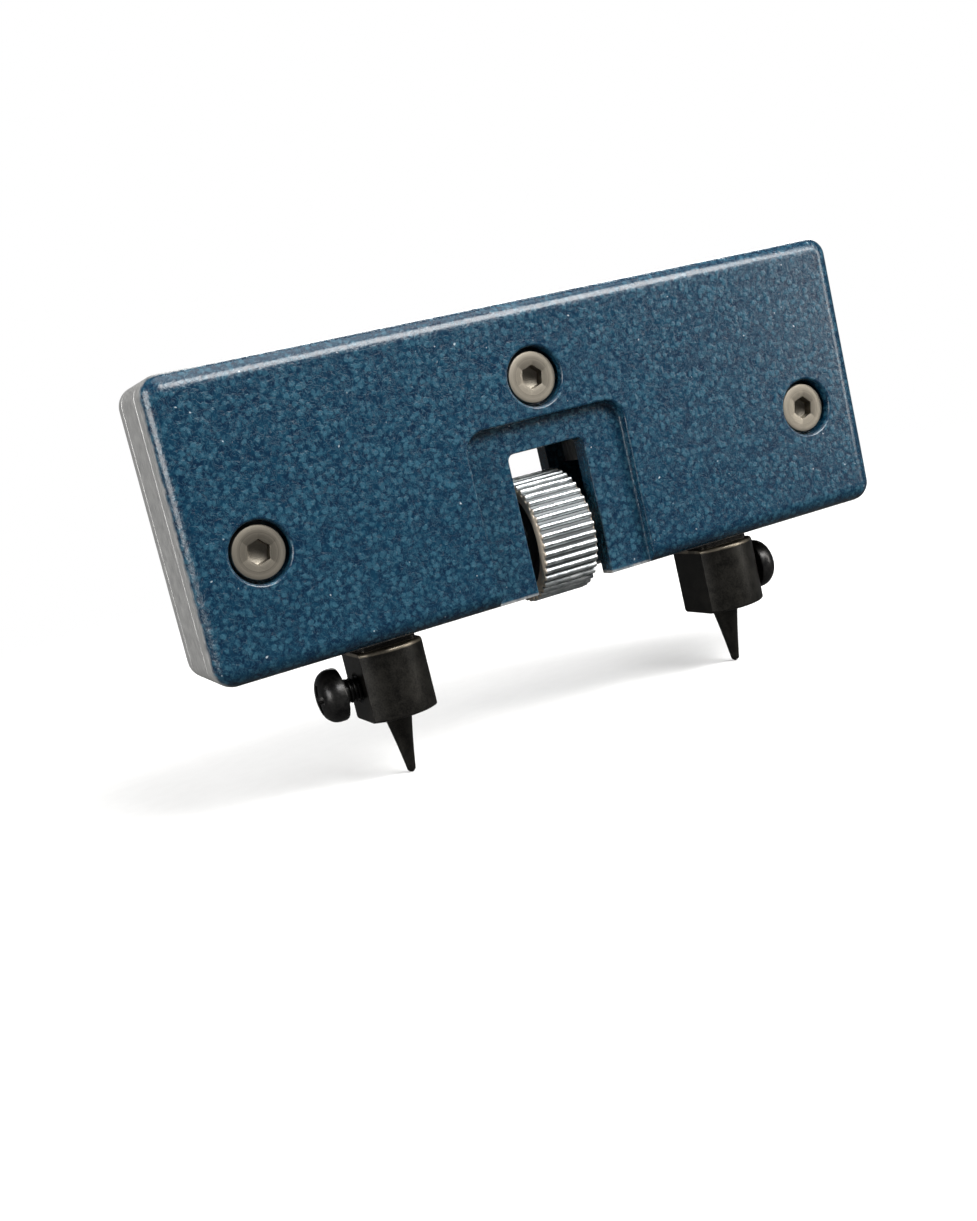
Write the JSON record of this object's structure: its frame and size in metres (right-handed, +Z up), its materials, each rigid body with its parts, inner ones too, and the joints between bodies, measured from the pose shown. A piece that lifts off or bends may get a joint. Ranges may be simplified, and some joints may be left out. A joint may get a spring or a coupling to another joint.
{
  "type": "case back opener",
  "caption": "Hand-held watch case back opener with a thumb wheel that moves two tipped jaws together along a blue painted body.",
  "frame": {"origin": "centre of the body's width and depth, at the height of the two tips' ends", "axes": "+X along the body to the right as the front cover is faced, -Y out of the front cover, +Z up from the tips to the body"},
  "size_m": [0.09, 0.016, 0.0514],
  "materials": {
    "blue_paint": "glossy blue hammer-tone paint, dark ground with lighter pebble spots",
    "bare_metal": "bare metal, linished to a brushed grey",
    "zinc_plate": "bright zinc plate, ridged",
    "black_steel": "black oxide, satin, rubbed warm on its edges",
    "black_screw": "black oxide, oiled",
    "satin_steel": "satin steel, turned face",
    "bright_steel": "bright turned steel",
    "bronze": "sintered bronze"
  },
  "bodies": {
    "body": {"front_cover": "blue_paint", "centre_frame": "bare_metal", "rear_cover": "blue_paint", "bearing_bush_left": "bronze", "bearing_bush_right": "bronze", "thrust_washer_left": "bright_steel", "thrust_washer_right": "bright_steel", "cover_screw_left": "satin_steel", "cover_screw_middle": "satin_steel", "cover_screw_right": "satin_steel", "dowel_pin_left": "bright_steel", "dowel_pin_right": "bright_steel"},
    "drive_screw": {"lead_screw": "bright_steel", "thumb_wheel": "zinc_plate"},
    "left_jaw": {"jaw_left": "black_steel"},
    "right_jaw": {"jaw_right": "black_steel"},
    "left_tip": {"tip_left": "black_steel"},
    "right_tip": {"tip_right": "black_steel"},
    "left_clamp": {"clamp_screw_left": "black_screw"},
    "right_clamp": {"clamp_screw_right": "black_screw"}
  },
  "joints": [
    {"name": "wheel_spin", "type": "hinge", "parent": "body", "child": "drive_screw", "pos_m": [0, 0, 0.0232], "axis": [1, 0, 0], "range_deg": [-2116, 6346]},
    {"name": "left_jaw_slide", "type": "slide", "parent": "body", "child": "left_jaw", "axis": [1, 0, 0], "range_m": [-0.0047, 0.0141]},
    {"name": "right_jaw_slide", "type": "slide", "parent": "body", "child": "right_jaw", "axis": [-1, 0, 0], "range_m": [-0.0047, 0.0141]},
    {"name": "left_tip_slide", "type": "slide", "parent": "left_jaw", "child": "left_tip", "axis": [0, 0, 1], "range_m": [0, 0.0045]},
    {"name": "right_tip_slide", "type": "slide", "parent": "right_jaw", "child": "right_tip", "axis": [0, 0, 1], "range_m": [0, 0.0045]},
    {"name": "left_clamp_travel", "type": "slide", "parent": "left_jaw", "child": "left_clamp", "axis": [-1, 0, 0], "range_m": [-0.0012, 0.0005]},
    {"name": "right_clamp_travel", "type": "slide", "parent": "right_jaw", "child": "right_clamp", "axis": [1, 0, 0], "range_m": [0, 0.0017]}
  ],
  "couplings": [
    {"joint": "right_jaw_slide", "follows": "left_jaw_slide", "ratio": 1},
    {"joint": "wheel_spin", "follows": "left_jaw_slide", "rad_per_m": 7854}
  ]
}
